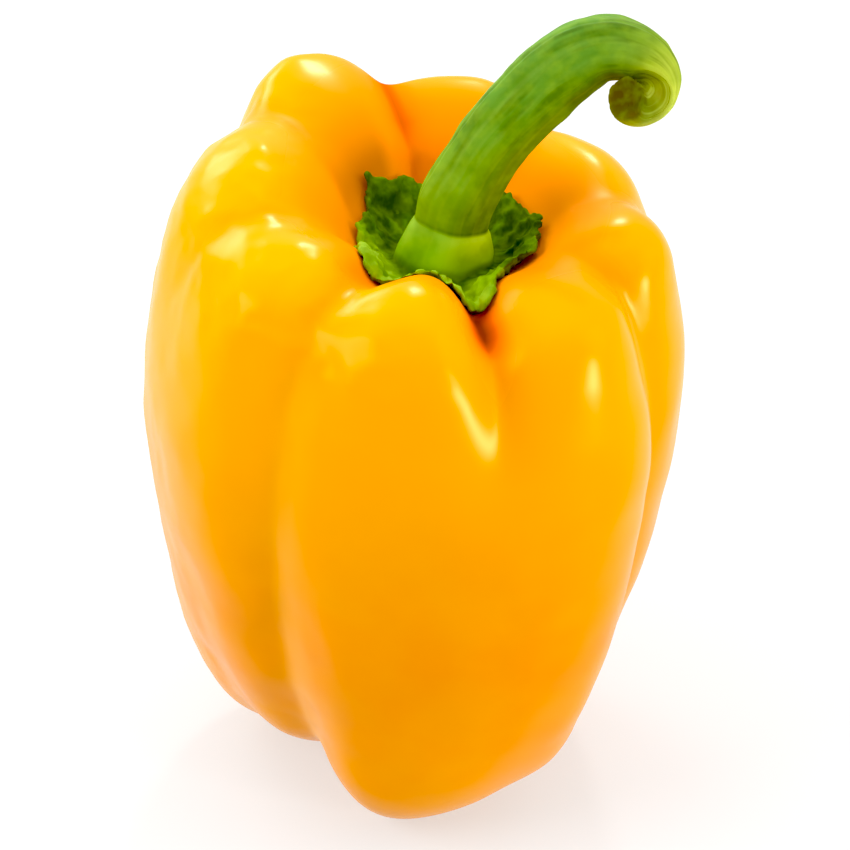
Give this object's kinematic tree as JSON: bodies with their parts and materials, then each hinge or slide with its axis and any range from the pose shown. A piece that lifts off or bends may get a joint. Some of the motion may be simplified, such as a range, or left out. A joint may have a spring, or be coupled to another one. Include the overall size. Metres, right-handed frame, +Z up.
{
  "type": "bell pepper",
  "caption": "Whole yellow bell pepper standing on the feet of its lobes, with a green calyx and a hooked stem.",
  "frame": {"origin": "middle of the pepper's outline seen from above, on the surface that it stands on", "axes": "+Z up, along the fruit from its feet to its stalk; -Y towards the front, the side that the picture shows; +X to the right, where the stem hooks over"},
  "size_m": [0.0842, 0.0838, 0.1307],
  "materials": {
    "flesh": "smooth waxy skin, yellow to orange, glossy",
    "stalk": "ribbed green stem and calyx, satin"
  },
  "bodies": {
    "root": {"fruit": "flesh", "stalk": "stalk"}
  },
  "joints": []
}
